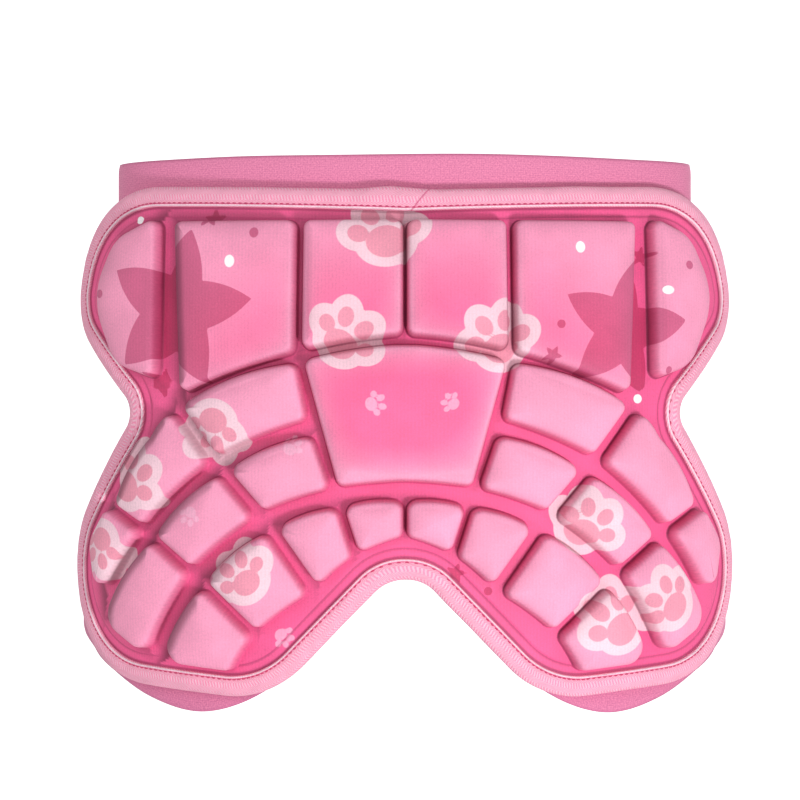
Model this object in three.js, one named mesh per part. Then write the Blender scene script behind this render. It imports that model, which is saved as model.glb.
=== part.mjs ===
// A child's tailbone and hip protector for skating, as it is worn: a moulded foam panel
// arched round the back of the hips, foam blocks standing on it in a lattice of channels,
// woven tape folded round its edge, an elastic waistband behind its top edge and an elastic
// leg strap behind each lower lobe. Millimetres, +Z up, the outer face looks to -Y.
// The origin is the middle of the waistband's loop, at half the height of the band.
import * as THREE from "three";

// Panel: its flat pattern, before it is moulded
const PAD_HALF_WIDTH = 200; // from the middle to the side edge, measured along the foam
const PAD_HEIGHT = 250; // from the middle of the waistband down to the lower edge
const PANEL_THICKNESS = 4;

// Panel: the form that it is moulded to
const ARCH_TURN = THREE.MathUtils.degToRad(63); // how far the foam has turned at the side edge
const ARCH_EVEN_SHARE = 0.65; // share of the turn that is even, the rest gathers at the sides
const BELLY = 14; // how far the middle stands out between the top and lower edges
const BELLY_PLACE = 0.55; // where it stands out most, as a share of the height

// Edge tape, folded round the panel's edge
const TAPE_FACE = 10.5; // width of the tape on each face
const TAPE_THICKNESS = 1;
const TAPE_ROUND = 0.6; // how early the fold turns, as a share of the tape's thickness

// Blocks and the channels between them
const BLOCK_HEIGHT = 8.6; // from the panel to the rim of a block's top
const BLOCK_CROWN = 1.6; // how much higher the middle of a block's top is
const BLOCK_FOOT_SPREAD = 1.2; // how much further out a block's foot stands than its wall's top
const BLOCK_SHOULDER = 3; // width of the round shoulder at the top
const BLOCK_CORNER = 5; // corner radius in the flat pattern
const WALL_SHARE = 0.66; // how far up a block its wall is straight
const SHOULDER_TURN = [0.3, 0.9]; // where the shoulder turns: share of its width, of the height
const CROWN_HALFWAY = 0.75; // share of the crown that is reached halfway to the middle

// Waistband
const BAND_WIDTH = 42;
const BAND_THICKNESS = 2;
const WAIST_HALF_WIDTH = 151; // of the band's loop, measured to its middle line
const WAIST_DEPTH = 119; // front to back, middle line to middle line

// Leg straps
const STRAP_WIDTH = 32;
const STRAP_THICKNESS = 2;
const LEG_FRONT_REACH = 124; // how far the strap reaches forward from the panel's middle
const STRAP_LOWEST = 245; // from the waistband's middle down to the strap's lowest middle line
const STRAP_RISE = 62; // how much higher the strap's highest middle line is

// Clearances between pieces that touch in the real product
const GAP = 0.4;
const TAPE_GAP = 0.5; // between the panel and the tape round it
const STRAP_GAP = 0.8; // between the tape and a leg strap, which bends less evenly

// How finely curves are divided
const EDGE_STATIONS = 38; // along half of the panel's edge
const BAND_STATIONS = 32; // along half of the waistband
const STRAP_STATIONS = 44; // round each leg strap
const BLOCK_EDGE_STEP = 17; // longest straight step along a block's foot
const CORNER_STEPS = 2; // steps round a block's corner
const OUTLINE_CORNER_STEPS = 12; // steps round a corner of the outline, before it is divided evenly
const NEAR_SHARE = 0.42; // share of the waistband's stations that lie along the panel

// Flat pattern of the tape's outer edge, right half, from the top middle to the notch.
// Columns: across, as a share of the half width; down, as a share of the height;
// corner radius, as a share of the half width.
const OUTLINE = [
  [0, -0.008, 0],
  [0.9, -0.034, 0.31],
  [0.992, 0.24, 0.16],
  [0.727, 0.432, 0.055],
  [1.02, 0.722, 0.25],
  [0.905, 0.98, 0.31],
  [0.342, 1.012, 0.26],
  [0.045, 0.766, 0.1],
  [0, 0.766, 0],
];

// Where the channels cross, right half. The letter is the row, from the top edge down, and
// the digit the line across, from the middle outwards. R are corners at the rim.
// Columns: across, as a share of the half width; down, as a share of the height.
const CROSSINGS = {
  A0: [0, 0.042],
  A1: [0.257, 0.042],
  A3: [0.61, 0.038],
  B0: [0, 0.292],
  B1: [0.26, 0.324],
  B3: [0.588, 0.416],
  B5: [0.652, 0.472],
  B4: [0.785, 0.624],
  C1: [0.225, 0.462],
  C3: [0.467, 0.538],
  C4: [0.664, 0.676],
  C5: [0.825, 0.848],
  D0: [0, 0.588],
  D1: [0.165, 0.6],
  D3: [0.344, 0.648],
  D4: [0.524, 0.76],
  D5: [0.65, 0.93],
  E0: [0, 0.684],
  E1: [0.117, 0.72],
  E3: [0.218, 0.79],
  E4: [0.366, 0.876],
  E5: [0.42, 0.946],
  N3: [0.615, 0.372],
  R1: [0.8, 0.052],
  R2: [0.858, 0.19],
  R8: [0.772, 0.334],
  R7: [0.858, 0.7],
};

// Width of the channel along each row and line, in millimetres
const CHANNEL_WIDTHS = { A: 9, B: 6.5, C: 10, D: 11.5, E: 6, 0: 4, 1: 5.5, 3: 8.5, 4: 7 };

// Corner radius at the rim, as a share of BLOCK_CORNER
const RIM_ROUNDING = { R1: 4.4, R2: 5.2, R8: 3.6, R7: 2.6, C5: 1.6, D5: 1.4, B5: 2 };

// Blocks of the right half, by the crossings round them, clockwise from the inner top corner
const SIDE_BLOCKS = {
  top_inner: ["A0", "A1", "B1", "B0"],
  top_middle: ["A1", "A3", "B3", "B1"],
  top_outer: ["A3", "R1", "R2", "R8", "N3"],
  upper_inner: ["B1", "B3", "C3", "C1"],
  upper_outer: ["B3", "B5", "B4", "C4", "C3"],
  upper_rim: ["B4", "R7", "C5", "C4"],
  lower_inner: ["C1", "C3", "D3", "D1"],
  lower_middle: ["C3", "C4", "D4", "D3"],
  lower_rim: ["C4", "C5", "D5", "D4"],
  edge_inner: ["D0", "D1", "E1", "E0"],
  edge_middle: ["D1", "D3", "E3", "E1"],
  edge_outer: ["D3", "D4", "E4", "E3"],
  edge_rim: ["D4", "D5", "E5", "E4"],
};

// The tailbone block in the middle, whose left half mirrors its right half
const CENTRE_BLOCK = ["B0", "B1", "D1", "D0"];

// The waistband's far half leaves the panel here, as a share of the panel's half width,
// and swings round on one curve with these handles, as shares of the loop's half width
const BAND_LEAVES = 0.68;
const BAND_SIDE_HANDLE = 0.52;
const BAND_FRONT_HANDLE = 0.76;

// Leg strap, the stretch that lies along the back of the lobe.
// Columns: across, as a share of the half width; height, as a share of the strap's rise.
const STRAP_ALONG_LOBE = [
  [0.37, 0.24],
  [0.45, 0.08],
  [0.55, 0.0],
  [0.68, 0.08],
  [0.82, 0.26],
  [0.935, 0.42],
];

// Leg strap, the stretch round the front of the thigh.
// Columns: across, as a share of the half width; forward, as a share of the reach;
// height, as a share of the strap's rise.
const STRAP_ROUND_FRONT = [
  [0.855, 0.86, 0.64],
  [0.75, 0.985, 0.84],
  [0.56, 0.97, 0.98],
  [0.4, 0.77, 1.0],
  [0.3, 0.5, 0.86],
  [0.288, 0.26, 0.58],
];

// Depths from the panel's middle surface
const HALF_PANEL = PANEL_THICKNESS / 2;
const TAPE_INSIDE = HALF_PANEL + TAPE_GAP;
const TAPE_OUTSIDE = TAPE_INSIDE + TAPE_THICKNESS;
const BAND_STANDOFF = TAPE_OUTSIDE + GAP + BAND_THICKNESS / 2;
const STRAP_STANDOFF = TAPE_OUTSIDE + STRAP_GAP + STRAP_THICKNESS / 2;
const TOP_EDGE = Math.min(...OUTLINE.map(([, down]) => down)) * PAD_HEIGHT;
const LOW_EDGE = Math.max(...OUTLINE.map(([, down]) => down)) * PAD_HEIGHT;
const PANEL_Y = -WAIST_DEPTH / 2 - BAND_STANDOFF - panelLean(TOP_EDGE);

const ARCH_STEP = PAD_HALF_WIDTH / 400; // step of the table that the arch is summed in
const archTable = [new THREE.Vector2(0, 0)];

function archAngle(across) {
  const share = across / PAD_HALF_WIDTH;
  return ARCH_TURN * (ARCH_EVEN_SHARE * share + (1 - ARCH_EVEN_SHARE) * share ** 3);
}

// The arch seen from above: place on the moulded panel for a distance along the foam
function archPlace(across) {
  const steps = Math.abs(across) / ARCH_STEP;
  while (archTable.length < steps + 2) {
    const angle = archAngle((archTable.length - 0.5) * ARCH_STEP);
    const last = archTable[archTable.length - 1];
    const step = new THREE.Vector2(Math.cos(angle), Math.sin(angle)).multiplyScalar(ARCH_STEP);
    archTable.push(step.add(last));
  }
  const index = Math.floor(steps);
  const place = archTable[index].clone().lerp(archTable[index + 1], steps - index);
  if (across < 0) place.x = -place.x;
  return place;
}

function bellyShare(down) {
  return (down / PAD_HEIGHT - BELLY_PLACE) / BELLY_PLACE;
}

function panelLean(down) {
  return BELLY * (bellyShare(down) ** 2 - 1);
}

// A point of the flat pattern on the moulded panel, at a height above its middle surface
function onPanel(across, down, height) {
  const angle = archAngle(across);
  const arch = archPlace(across);
  const slope = (-2 * BELLY * bellyShare(down)) / (BELLY_PLACE * PAD_HEIGHT);
  const normal = new THREE.Vector3(Math.sin(angle), -Math.cos(angle), Math.cos(angle) * slope).normalize();
  return new THREE.Vector3(arch.x, PANEL_Y + arch.y + panelLean(down), -down).addScaledVector(normal, height);
}

// A point of the flat pattern from its shares of the half width and the height
function flatPoint(across, down) {
  return new THREE.Vector2(across * PAD_HALF_WIDTH, down * PAD_HEIGHT);
}

// Polygon with rounded corners, as points of the flat pattern. Each corner is a Vector2
// with a radius, and straight stretches are divided into steps no longer than `step`.
function roundedPoints(corners, radii, cornerSteps, step, closed) {
  const points = [];
  const last = corners.length - 1;
  corners.forEach((corner, index) => {
    if (!closed && (index === 0 || index === last)) {
      points.push(corner.clone());
      return;
    }
    const before = corners[(index + last) % corners.length];
    const after = corners[(index + 1) % corners.length];
    const toBefore = before.clone().sub(corner);
    const toAfter = after.clone().sub(corner);
    const room = 0.49 * Math.min(toBefore.length(), toAfter.length());
    toBefore.normalize();
    toAfter.normalize();
    const halfAngle = Math.acos(THREE.MathUtils.clamp(toBefore.dot(toAfter), -1, 1)) / 2;
    const reach = Math.min(radii[index] / Math.tan(halfAngle), closed ? room : Infinity);
    const radius = reach * Math.tan(halfAngle);
    const inward = toBefore.clone().add(toAfter).normalize();
    const middle = inward.multiplyScalar(radius / Math.sin(halfAngle)).add(corner);
    const start = toBefore.multiplyScalar(reach).add(corner).sub(middle);
    const end = toAfter.multiplyScalar(reach).add(corner).sub(middle);
    const turn = Math.atan2(start.cross(end), start.dot(end));
    for (let k = 0; k <= cornerSteps; k += 1) {
      const point = start.clone().rotateAround(new THREE.Vector2(), (turn * k) / cornerSteps);
      points.push(point.add(middle));
    }
  });
  const divided = [];
  points.forEach((point, index) => {
    divided.push(point);
    if (!closed && index === points.length - 1) return;
    const next = points[(index + 1) % points.length];
    const parts = Math.ceil(point.distanceTo(next) / step);
    for (let k = 1; k < parts; k += 1) divided.push(point.clone().lerp(next, k / parts));
  });
  return divided;
}

// Points moved sideways from a closed outline that runs anticlockwise: outwards if positive
function offsetPoints(points, distance) {
  const count = points.length;
  return points.map((point, index) => {
    const before = points[(index + count - 1) % count];
    const after = points[(index + 1) % count];
    const along = after.clone().sub(before).normalize();
    return point.clone().add(new THREE.Vector2(along.y, -along.x).multiplyScalar(distance));
  });
}

// Closed mesh from rings with equally many points. A ring may be one point, a pole.
function meshFromRings(rings, closedRound) {
  const positions = [];
  const starts = rings.map((ring) => {
    const start = positions.length / 3;
    ring.forEach((point) => positions.push(point.x, point.y, point.z));
    return start;
  });
  const indices = [];
  const joins = closedRound ? rings.length : rings.length - 1;
  for (let r = 0; r < joins; r += 1) {
    const next = (r + 1) % rings.length;
    const count = Math.max(rings[r].length, rings[next].length);
    for (let k = 0; k < count; k += 1) {
      const m = (k + 1) % count;
      const a = starts[r] + (rings[r].length > 1 ? k : 0);
      const b = starts[r] + (rings[r].length > 1 ? m : 0);
      const c = starts[next] + (rings[next].length > 1 ? m : 0);
      const d = starts[next] + (rings[next].length > 1 ? k : 0);
      if (a !== b) indices.push(a, c, b);
      if (c !== d) indices.push(a, d, c);
    }
  }
  const geometry = new THREE.BufferGeometry();
  geometry.setAttribute("position", new THREE.Float32BufferAttribute(positions, 3));
  geometry.setIndex(indices);
  geometry.computeVertexNormals();
  return geometry;
}

function scaledRing(points, centre, share) {
  return points.map((point) => centre.clone().lerp(point, share));
}

// The tape's outer edge all round, in the flat pattern, from the top middle to the right
function outlinePoints() {
  const corners = OUTLINE.map(([across, down]) => flatPoint(across, down));
  const radii = OUTLINE.map(([, , radius]) => radius * PAD_HALF_WIDTH);
  const half = new THREE.Path(roundedPoints(corners, radii, OUTLINE_CORNER_STEPS, PAD_HALF_WIDTH, false));
  const right = half.getSpacedPoints(EDGE_STATIONS);
  const left = right.slice(1, -1).reverse().map((point) => new THREE.Vector2(-point.x, point.y));
  return right.concat(left);
}

// Inner rings of the panel's mesh, as shares of the way from this middle to the tape
const PANEL_RINGS = [0.86, 0.7, 0.54, 0.37, 0.19];
const PANEL_MIDDLE = new THREE.Vector2(0, 0.44 * PAD_HEIGHT);

function makePanel(edge) {
  const outer = offsetPoints(edge, -TAPE_THICKNESS - TAPE_GAP);
  const inner = offsetPoints(edge, -TAPE_THICKNESS - TAPE_GAP - TAPE_FACE);
  const rings = PANEL_RINGS.map((share) => scaledRing(inner, PANEL_MIDDLE, share));
  const flat = [outer, inner, ...rings, [PANEL_MIDDLE]];
  const back = flat.map((ring) => ring.map((point) => onPanel(point.x, point.y, -HALF_PANEL)));
  const front = flat.map((ring) => ring.map((point) => onPanel(point.x, point.y, HALF_PANEL)));
  return meshFromRings([...back.reverse(), ...front], false);
}

// The tape's section, as distances out from the panel's edge and heights above the middle
function tapeSection() {
  const round = TAPE_THICKNESS * TAPE_ROUND;
  return [
    [-TAPE_FACE, TAPE_OUTSIDE],
    [-round, TAPE_OUTSIDE],
    [0, 0],
    [-round, -TAPE_OUTSIDE],
    [-TAPE_FACE, -TAPE_OUTSIDE],
    [-TAPE_FACE, -TAPE_INSIDE],
    [-TAPE_THICKNESS, -TAPE_INSIDE],
    [-TAPE_THICKNESS, TAPE_INSIDE],
    [-TAPE_FACE, TAPE_INSIDE],
  ];
}

function makeEdgeTape(edge) {
  const rings = tapeSection().map(([out, height]) =>
    offsetPoints(edge, out).map((point) => onPanel(point.x, point.y, height)),
  );
  return meshFromRings(rings.reverse(), true);
}

function crossingPoint(name) {
  return flatPoint(...CROSSINGS[name]);
}

// Half the width of the channel that two crossings share, or none along the rim
function halfChannel(from, to) {
  if (from[0] === to[0]) return (CHANNEL_WIDTHS[from[0]] ?? 0) / 2;
  if (from[1] === to[1]) return (CHANNEL_WIDTHS[from[1]] ?? 0) / 2;
  return 0;
}

// Corners moved in from the crossings by half a channel on each side
function insetCorners(corners, insets) {
  const count = corners.length;
  return corners.map((corner, index) => {
    const before = corners[(index + count - 1) % count];
    const after = corners[(index + 1) % count];
    const along1 = corner.clone().sub(before).normalize();
    const along2 = after.clone().sub(corner).normalize();
    const inset1 = insets[(index + count - 1) % count];
    const inset2 = insets[index];
    const start1 = new THREE.Vector2(-along1.y, along1.x).multiplyScalar(inset1).add(corner);
    const start2 = new THREE.Vector2(-along2.y, along2.x).multiplyScalar(inset2).add(corner);
    const between = start2.clone().sub(start1);
    const reach = between.cross(along2) / along1.cross(along2);
    return start1.addScaledVector(along1, reach);
  });
}

function blockCorners(names) {
  const insets = names.map((name, index) => halfChannel(name, names[(index + 1) % names.length]));
  const corners = insetCorners(names.map(crossingPoint), insets);
  const radii = names.map((name) => BLOCK_CORNER * (RIM_ROUNDING[name] ?? 1));
  return { corners, radii };
}

function centreBlockCorners() {
  const mirror = (point) => new THREE.Vector2(-point.x, point.y);
  const [top, topSide, lowSide, low] = CENTRE_BLOCK.map(crossingPoint);
  const corners = [top, topSide, lowSide, low, mirror(lowSide), mirror(topSide)];
  const row = CHANNEL_WIDTHS.B / 2;
  const line = CHANNEL_WIDTHS[1] / 2;
  const lower = CHANNEL_WIDTHS.D / 2;
  const radii = corners.map(() => BLOCK_CORNER);
  return { corners: insetCorners(corners, [row, line, lower, lower, line, row]), radii };
}

// Levels of a block, from its foot to the edge of its top.
// Columns: distance out from the wall's top; height above the panel.
const BLOCK_LEVELS = [
  [BLOCK_FOOT_SPREAD, GAP],
  [0, BLOCK_HEIGHT * WALL_SHARE],
  [-BLOCK_SHOULDER * SHOULDER_TURN[0], BLOCK_HEIGHT * SHOULDER_TURN[1]],
  [-BLOCK_SHOULDER, BLOCK_HEIGHT],
];

function makeBlock({ corners, radii }) {
  const outline = roundedPoints(corners, radii, CORNER_STEPS, BLOCK_EDGE_STEP, true);
  const sum = outline.reduce((total, point) => total.add(point), new THREE.Vector2());
  const centre = sum.divideScalar(outline.length);
  const foot = offsetPoints(outline, BLOCK_FOOT_SPREAD);
  const top = offsetPoints(outline, -BLOCK_SHOULDER);
  const lift = (points, height) => points.map((point) => onPanel(point.x, point.y, HALF_PANEL + height));
  const rings = [
    lift([centre], GAP),
    lift(scaledRing(foot, centre, 0.5), GAP),
    ...BLOCK_LEVELS.map(([out, height]) => lift(offsetPoints(outline, out), height)),
    lift(scaledRing(top, centre, 0.5), BLOCK_HEIGHT + BLOCK_CROWN * CROWN_HALFWAY),
    lift([centre], BLOCK_HEIGHT + BLOCK_CROWN),
  ];
  return meshFromRings(rings, false);
}

// Closed band along a closed path. Its width stands as upright as the path allows.
function makeBand(path, width, thickness) {
  const up = new THREE.Vector3(0, 0, 1);
  const count = path.length;
  const section = [
    [-0.5, 0.5],
    [0.5, 0.5],
    [0.5, -0.5],
    [-0.5, -0.5],
  ];
  const rings = path.map((point, index) => {
    const along = path[(index + 1) % count].clone().sub(path[(index + count - 1) % count]).normalize();
    const across = up.clone().addScaledVector(along, -up.dot(along)).normalize();
    const out = along.clone().cross(across);
    return section.map(([wide, thick]) =>
      point.clone().addScaledVector(across, wide * width).addScaledVector(out, thick * thickness),
    );
  });
  return meshFromRings(rings, true);
}

// The waistband's loop seen from above, anticlockwise: along the panel, then round the front
function waistPath() {
  const leave = BAND_LEAVES * PAD_HALF_WIDTH;
  const along = (across) => onPanel(across, TOP_EDGE, -BAND_STANDOFF).setZ(0);
  const start = along(leave);
  const angle = archAngle(leave);
  const sideReach = BAND_SIDE_HANDLE * WAIST_HALF_WIDTH;
  const side = new THREE.Vector3(Math.cos(angle), Math.sin(angle), 0).multiplyScalar(sideReach);
  const front = new THREE.Vector3(0, WAIST_DEPTH / 2, 0);
  const frontHandle = new THREE.Vector3(BAND_FRONT_HANDLE * WAIST_HALF_WIDTH, WAIST_DEPTH / 2, 0);
  const swing = new THREE.CubicBezierCurve3(start, side.add(start), frontHandle, front);
  const nearSteps = Math.round(BAND_STATIONS * NEAR_SHARE);
  const farSteps = BAND_STATIONS - nearSteps;
  const half = [];
  for (let k = 0; k < nearSteps; k += 1) half.push(along((leave * k) / nearSteps));
  half.push(...swing.getSpacedPoints(farSteps));
  const mirrored = half.slice(1, -1).reverse().map((point) => new THREE.Vector3(-point.x, point.y, point.z));
  return half.concat(mirrored);
}

// The right leg strap's loop: along the lobe, then up and round the front of the thigh
function strapPath() {
  const height = (share) => -STRAP_LOWEST + share * STRAP_RISE;
  const along = STRAP_ALONG_LOBE.map(([across, rise]) =>
    onPanel(across * PAD_HALF_WIDTH, LOW_EDGE, -STRAP_STANDOFF).setZ(height(rise)),
  );
  const round = STRAP_ROUND_FRONT.map(
    ([across, forward, rise]) =>
      new THREE.Vector3(across * PAD_HALF_WIDTH, PANEL_Y + forward * LEG_FRONT_REACH, height(rise)),
  );
  const loop = new THREE.CatmullRomCurve3([...along, ...round], true, "centripetal");
  return loop.getSpacedPoints(STRAP_STATIONS).slice(0, -1);
}

function mirroredGeometry(geometry) {
  const copy = geometry.clone().applyMatrix4(new THREE.Matrix4().makeScale(-1, 1, 1));
  const index = copy.getIndex();
  for (let k = 0; k < index.count; k += 3) {
    const first = index.getX(k);
    index.setX(k, index.getX(k + 1));
    index.setX(k + 1, first);
  }
  copy.computeVertexNormals();
  return copy;
}

const panelFabric = new THREE.MeshStandardMaterial({ color: 0xe8558c, roughness: 0.62, metalness: 0 });
const blockFabric = new THREE.MeshStandardMaterial({ color: 0xf79ac2, roughness: 0.6, metalness: 0 });
const tapeWeave = new THREE.MeshStandardMaterial({ color: 0xf9afc6, roughness: 0.75, metalness: 0 });
const bandElastic = new THREE.MeshStandardMaterial({ color: 0xcb6f9d, roughness: 0.8, metalness: 0 });

const protector = new THREE.Group();

function addPiece(name, geometry, material) {
  const mesh = new THREE.Mesh(geometry, material);
  mesh.name = name;
  protector.add(mesh);
}

const edge = outlinePoints();
addPiece("base_panel", makePanel(edge), panelFabric);
addPiece("edge_tape", makeEdgeTape(edge), tapeWeave);
addPiece("block_centre", makeBlock(centreBlockCorners()), blockFabric);
for (const [name, crossings] of Object.entries(SIDE_BLOCKS)) {
  const geometry = makeBlock(blockCorners(crossings));
  addPiece(`block_${name}_right`, geometry, blockFabric);
  addPiece(`block_${name}_left`, mirroredGeometry(geometry), blockFabric);
}
addPiece("waistband", makeBand(waistPath(), BAND_WIDTH, BAND_THICKNESS), bandElastic);
const strap = makeBand(strapPath(), STRAP_WIDTH, STRAP_THICKNESS);
addPiece("leg_strap_right", strap, bandElastic);
addPiece("leg_strap_left", mirroredGeometry(strap), bandElastic);

export default protector;
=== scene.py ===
import math

import bpy
import numpy as np
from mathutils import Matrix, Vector, noise


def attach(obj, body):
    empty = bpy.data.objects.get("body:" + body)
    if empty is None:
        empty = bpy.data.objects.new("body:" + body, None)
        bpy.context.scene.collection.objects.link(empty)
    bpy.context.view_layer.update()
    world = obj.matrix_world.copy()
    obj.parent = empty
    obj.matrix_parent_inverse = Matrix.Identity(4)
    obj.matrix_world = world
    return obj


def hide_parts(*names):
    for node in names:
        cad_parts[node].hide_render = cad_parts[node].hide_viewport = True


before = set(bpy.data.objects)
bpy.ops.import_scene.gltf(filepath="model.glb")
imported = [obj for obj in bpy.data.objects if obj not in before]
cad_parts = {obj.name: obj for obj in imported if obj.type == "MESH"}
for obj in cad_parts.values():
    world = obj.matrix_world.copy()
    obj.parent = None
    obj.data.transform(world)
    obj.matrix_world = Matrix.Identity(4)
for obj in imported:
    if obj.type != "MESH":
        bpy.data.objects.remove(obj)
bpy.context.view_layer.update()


# Camera
# It stands squarely behind the wearer, well over a metre off, at the height of the
# middle of the panel, so that the side edges turn away and the straps hide behind the lobes.
CAMERA_PLACE = Vector((-0.0025, -1.364, -0.1025))
CAMERA_LENS = 117.0
CAMERA_SENSOR = 36.0

camera_data = bpy.data.cameras.new("camera")
camera_data.lens = CAMERA_LENS
camera_data.sensor_width = CAMERA_SENSOR
camera = bpy.data.objects.new("camera", camera_data)
camera.location = CAMERA_PLACE
camera.rotation_euler = (math.radians(90), 0, 0)
bpy.context.scene.collection.objects.link(camera)
bpy.context.scene.camera = camera


# Moulded panel
# A sheet of soft foam between two layers of stretch knit, the outer one printed. It is pressed
# hot over a former, so that it arches round the hips and a fine step runs round inside its rim.
# Lengths are in millimetres, and on_panel turns them into metres.
MM = 0.001
PAD_HALF_WIDTH = 200.0
PAD_HEIGHT = 250.0
HALF_PANEL = 2.0
ARCH_TURN = math.radians(63)
ARCH_EVEN_SHARE = 0.65
BELLY = 14.0
BELLY_PLACE = 0.55
WAIST_DEPTH = 119.0
BAND_STANDOFF = 4.9
TAPE_FACE = 10.5
PANEL_EDGE = 1.5

# Flat pattern of the tape's outer edge, right half, from the top middle to the notch.
# Columns: across, as a share of the half width; down, as a share of the height;
# corner radius, as a share of the half width.
OUTLINE = [
    [0, -0.008, 0],
    [0.9, -0.034, 0.31],
    [0.992, 0.24, 0.16],
    [0.727, 0.432, 0.055],
    [1.02, 0.722, 0.25],
    [0.905, 0.98, 0.31],
    [0.342, 1.012, 0.26],
    [0.045, 0.766, 0.1],
    [0, 0.766, 0],
]
TOP_EDGE = -8.5
LOW_EDGE = 253.0
PANEL_STATIONS = 840
PANEL_MIDDLE = (0.0, 110.0)

# Rings of the panel's faces: distances in from the tape's outer edge, and the shares by which
# the innermost of these is drawn towards the middle. The back has fewer, innermost first.
UNDER_TAPE = (PANEL_EDGE, 5.0, 8.5, 10.5)
BESIDE_TAPE = TAPE_FACE + 0.6 * np.arange(2, 17)
INNER_INSET = 22.0
INNER_SHARES = np.linspace(1, 0.015, 84)
BACK_RINGS = (98, 90, 78, 66, 54, 42, 30, 19, 8, 3, 0)

# The step inside the tape. Columns: distance in from the tape's inner edge; depth.
RIM_STEP = [
    [4.1, 0.5],
    [4.9, 0.72],
    [5.4, 0.66],
    [6.1, 0.12],
    [6.9, 0.0],
]

# Painted shade beside the tape: a line along the step and the shadow under the tape's edge.
# Columns: how dark; distance in from the tape; width.
RIM_PAINTED_SHADOWS = [
    [0.5, 5.2, 0.5],
    [0.85, 0.7, 0.9],
]
# The foam is a little uneven: depth and length of its bumps, and a seed.
PANEL_RIPPLE = (0.05, 7.0, 3.0)
# The lining's pink, on the way from the channels' pink at 0 to the tops' at 1.
LINING_LIFT = 0.45
# What the print's distances say on the lining and out of sight.
PANEL_FAR = 50.0
POINTS_AT_ONCE = 2000

# The arch is summed in a table of even steps along the foam.
flat_steps = np.linspace(0, 1.2 * PAD_HALF_WIDTH, 4801)


def arch_angle(across):
    share = across / PAD_HALF_WIDTH
    return ARCH_TURN * (ARCH_EVEN_SHARE * share + (1 - ARCH_EVEN_SHARE) * share**3)


def summed(values):
    step = flat_steps[1] - flat_steps[0]
    return np.concatenate([[0], np.cumsum(values) * step])


step_angles = arch_angle((flat_steps[1:] + flat_steps[:-1]) / 2)
arch_x = summed(np.cos(step_angles))
arch_y = summed(np.sin(step_angles))


def panel_lean(down):
    share = (down / PAD_HEIGHT - BELLY_PLACE) / BELLY_PLACE
    return BELLY * (share**2 - 1)


PANEL_Y = -WAIST_DEPTH / 2 - BAND_STANDOFF - panel_lean(TOP_EDGE)


def unit(vectors):
    return vectors / np.linalg.norm(vectors, axis=1, keepdims=True)


def on_panel(flat, height):
    """Points of the flat pattern on the moulded panel, at heights above its middle surface."""
    across, down = flat[:, 0], flat[:, 1]
    angle = arch_angle(across)
    slope = -2 * BELLY * (down / PAD_HEIGHT - BELLY_PLACE) / (BELLY_PLACE**2 * PAD_HEIGHT)
    normal = unit(np.stack([np.sin(angle), -np.cos(angle), np.cos(angle) * slope], axis=1))
    x = np.sign(across) * np.interp(np.abs(across), flat_steps, arch_x)
    y = PANEL_Y + np.interp(np.abs(across), flat_steps, arch_y) + panel_lean(down)
    height = np.broadcast_to(height, across.shape)
    return (np.stack([x, y, -down], axis=1) + normal * height[:, None]) * MM


def rounded_path(corners, radii, closed, arc_steps=24):
    """A polygon with rounded corners, as a fine chain of points."""
    corners = np.array(corners, float)
    count = len(corners)
    points = []
    for index, corner in enumerate(corners):
        if not closed and index in (0, count - 1):
            points.append(corner)
            continue
        to_before = corners[index - 1] - corner
        to_after = corners[(index + 1) % count] - corner
        room = 0.49 * min(np.linalg.norm(to_before), np.linalg.norm(to_after))
        to_before /= np.linalg.norm(to_before)
        to_after /= np.linalg.norm(to_after)
        half = math.acos(np.clip(to_before @ to_after, -1, 1)) / 2
        reach = radii[index] / math.tan(half)
        if closed:
            reach = min(reach, room)
        inward = (to_before + to_after) / np.linalg.norm(to_before + to_after)
        middle = corner + inward * reach / math.cos(half)
        start = corner + to_before * reach - middle
        end = corner + to_after * reach - middle
        turn = math.atan2(start[0] * end[1] - start[1] * end[0], start @ end)
        for k in range(arc_steps + 1):
            c, s = math.cos(turn * k / arc_steps), math.sin(turn * k / arc_steps)
            points.append(middle + [c * start[0] - s * start[1], s * start[0] + c * start[1]])
    return np.array(points)


def distances(points):
    """How far along a chain each of its points lies."""
    return np.concatenate([[0], np.cumsum(np.linalg.norm(np.diff(points, axis=0), axis=1))])


def even_path(points, count, closed):
    """The same chain divided evenly: count points, both ends included if it is open."""
    if closed:
        points = np.vstack([points, points[:1]])
    lengths = distances(points)
    places = np.linspace(0, lengths[-1], count + 1 if closed else count)
    if closed:
        places = places[:-1]
    return np.stack([np.interp(places, lengths, points[:, k]) for k in range(points.shape[1])], axis=1)


def directions(path):
    """The direction along a closed chain at each of its points."""
    return unit(np.roll(path, -1, axis=0) - np.roll(path, 1, axis=0))


def moved_out(path, distance):
    """A closed chain in the flat pattern moved sideways, outwards if the distance is positive."""
    along = directions(path)
    distance = np.broadcast_to(distance, len(path))[:, None]
    return path + np.stack([along[:, 1], -along[:, 0]], axis=1) * distance


def rim_path(count):
    """The tape's outer edge, all round from the top middle, through the right side first."""
    corners = [[across * PAD_HALF_WIDTH, down * PAD_HEIGHT] for across, down, _ in OUTLINE]
    radii = [radius * PAD_HALF_WIDTH for _, _, radius in OUTLINE]
    half = even_path(rounded_path(corners, radii, False), count // 2 + 1, False)
    other = half[-2:0:-1] * [-1, 1]
    return np.vstack([half, other])


rim = rim_path(PANEL_STATIONS)


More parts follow.
